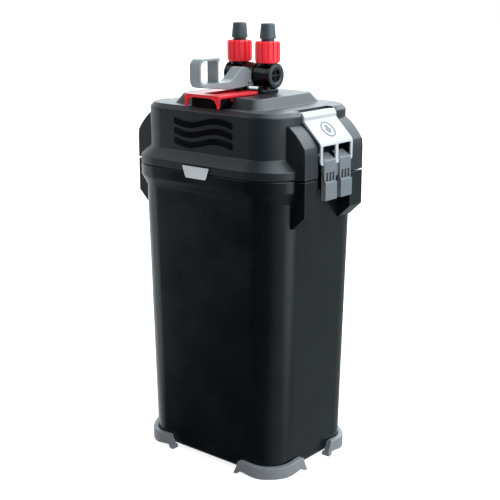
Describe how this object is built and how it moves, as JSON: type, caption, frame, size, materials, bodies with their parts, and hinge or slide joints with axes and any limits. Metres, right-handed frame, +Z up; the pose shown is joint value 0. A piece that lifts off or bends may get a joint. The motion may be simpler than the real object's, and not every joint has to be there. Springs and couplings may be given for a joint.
{
  "type": "canister filter",
  "caption": "Tall tapered aquarium canister filter with a latched motor head, a lift-out valve unit with hose connectors and a lever, a priming handle and inner media baskets.",
  "frame": {"origin": "on the floor under the middle of the footprint, at the underside of the feet", "axes": "+Z up; the front with the blank plate and the priming handle faces -Y; the latches are at +X and -X"},
  "size_m": [0.2468, 0.1704, 0.478],
  "materials": {
    "canister_plastic": "satin charcoal moulding with a fine grain",
    "head_plastic": "satin charcoal moulding, slightly lighter than the canister",
    "foot_rubber": "matt grey soft-touch rubber",
    "basket_plastic": "plain black moulding",
    "handle_red": "glossy red moulding",
    "foam_blue": "open-cell filter foam",
    "foam_dark": "coarse open-cell filter foam",
    "ceramic": "unglazed ceramic",
    "carbon_fabric": "black mesh pouch of carbon",
    "deck_plastic": "black engineering plastic",
    "seal_rubber": "black rubber",
    "screw_steel": "stainless steel",
    "case_resin": "grey potted case",
    "core_steel": "laminated electrical steel",
    "coil_copper": "enamelled copper winding",
    "magnet": "coated ferrite magnet",
    "impeller_plastic": "red impeller plastic",
    "gland_rubber": "black rubber cord gland",
    "badge_silver": "satin silver blank plate",
    "trim_gloss": "gloss black raised trim",
    "latch_silver": "light silver-grey satin moulding",
    "tab_grey": "mid-grey fine-textured moulding",
    "valve_gloss": "gloss black moulding",
    "drum_black": "gloss black moulding",
    "cap_grey": "dark-grey moulding",
    "lever_grey": "light grey satin moulding",
    "nut_red": "red satin moulding",
    "connector_grey": "dark grey moulding"
  },
  "bodies": {
    "canister": {"canister": "canister_plastic", "foot_front_left": "foot_rubber", "foot_front_right": "foot_rubber", "foot_rear_left": "foot_rubber", "foot_rear_right": "foot_rubber", "basket_lower": "basket_plastic", "basket_middle": "basket_plastic", "basket_upper": "basket_plastic", "basket_cover": "basket_plastic", "basket_lift_handle": "handle_red", "foam_block": "foam_blue", "ceramic_rings": "ceramic", "carbon_pouches": "carbon_fabric", "screen_frame": "basket_plastic", "screen_foams": "foam_dark"},
    "head": {"head_cover": "head_plastic", "motor_deck": "deck_plastic", "head_seal": "seal_rubber", "deck_screws": "screw_steel", "motor_case": "case_resin", "stator_core": "core_steel", "motor_coil": "coil_copper", "impeller_cover": "deck_plastic", "impeller_shaft": "ceramic", "shaft_bush_upper": "seal_rubber", "shaft_bush_lower": "seal_rubber", "cord_gland": "gland_rubber", "gland_nut": "basket_plastic", "badge_plate": "badge_silver", "wave_trim": "trim_gloss", "latch_pin_right": "screw_steel", "latch_pin_left": "screw_steel", "primer_cylinder": "case_resin"},
    "right_latch": {"latch_right": "latch_silver", "latch_tabs_right": "tab_grey"},
    "left_latch": {"latch_left": "latch_silver", "latch_tabs_left": "tab_grey"},
    "valve_unit": {"valve_body": "valve_gloss", "port_seals": "seal_rubber", "end_cap_inlet": "cap_grey", "end_cap_outlet": "cap_grey", "hose_connector_inlet": "connector_grey", "hose_connector_outlet": "connector_grey"},
    "valve_lever": {"lever": "lever_grey", "drum_inlet": "drum_black", "drum_outlet": "drum_black"},
    "inlet_nut": {"lock_nut_inlet": "nut_red"},
    "outlet_nut": {"lock_nut_outlet": "nut_red"},
    "primer": {"primer_handle": "handle_red", "primer_rod": "screw_steel", "primer_piston": "deck_plastic", "piston_seal": "seal_rubber"},
    "rotor": {"magnet_rotor": "magnet", "impeller": "impeller_plastic"}
  },
  "joints": [
    {"name": "head_lift", "type": "slide", "parent": "canister", "child": "head", "axis": [0, 0, 1], "range_m": [0, 0.15]},
    {"name": "right_latch_hinge", "type": "hinge", "parent": "head", "child": "right_latch", "pos_m": [0.0926, 0, 0.3892], "axis": [0, -1, 0], "range_deg": [0, 100]},
    {"name": "left_latch_hinge", "type": "hinge", "parent": "head", "child": "left_latch", "pos_m": [-0.0926, 0, 0.3892], "axis": [0, 1, 0], "range_deg": [0, 100]},
    {"name": "valve_lift", "type": "slide", "parent": "head", "child": "valve_unit", "axis": [0, 0, 1], "range_m": [0, 0.04]},
    {"name": "lever_hinge", "type": "hinge", "parent": "valve_unit", "child": "valve_lever", "pos_m": [0, 0.0106, 0.4235], "axis": [-1, 0, 0], "range_deg": [0, 45]},
    {"name": "inlet_nut_turn", "type": "hinge", "parent": "valve_unit", "child": "inlet_nut", "pos_m": [-0.0196, 0.0106, 0.448], "axis": [0, 0, 1], "range_deg": [0, 360]},
    {"name": "outlet_nut_turn", "type": "hinge", "parent": "valve_unit", "child": "outlet_nut", "pos_m": [0.0196, 0.0106, 0.448], "axis": [0, 0, 1], "range_deg": [0, 360]},
    {"name": "primer_stroke", "type": "slide", "parent": "head", "child": "primer", "axis": [0, 0, 1], "range_m": [0, 0.0045]},
    {"name": "impeller_spin", "type": "hinge", "parent": "head", "child": "rotor", "pos_m": [0.057, 0.004, 0.35], "axis": [0, 0, 1], "continuous": true}
  ]
}
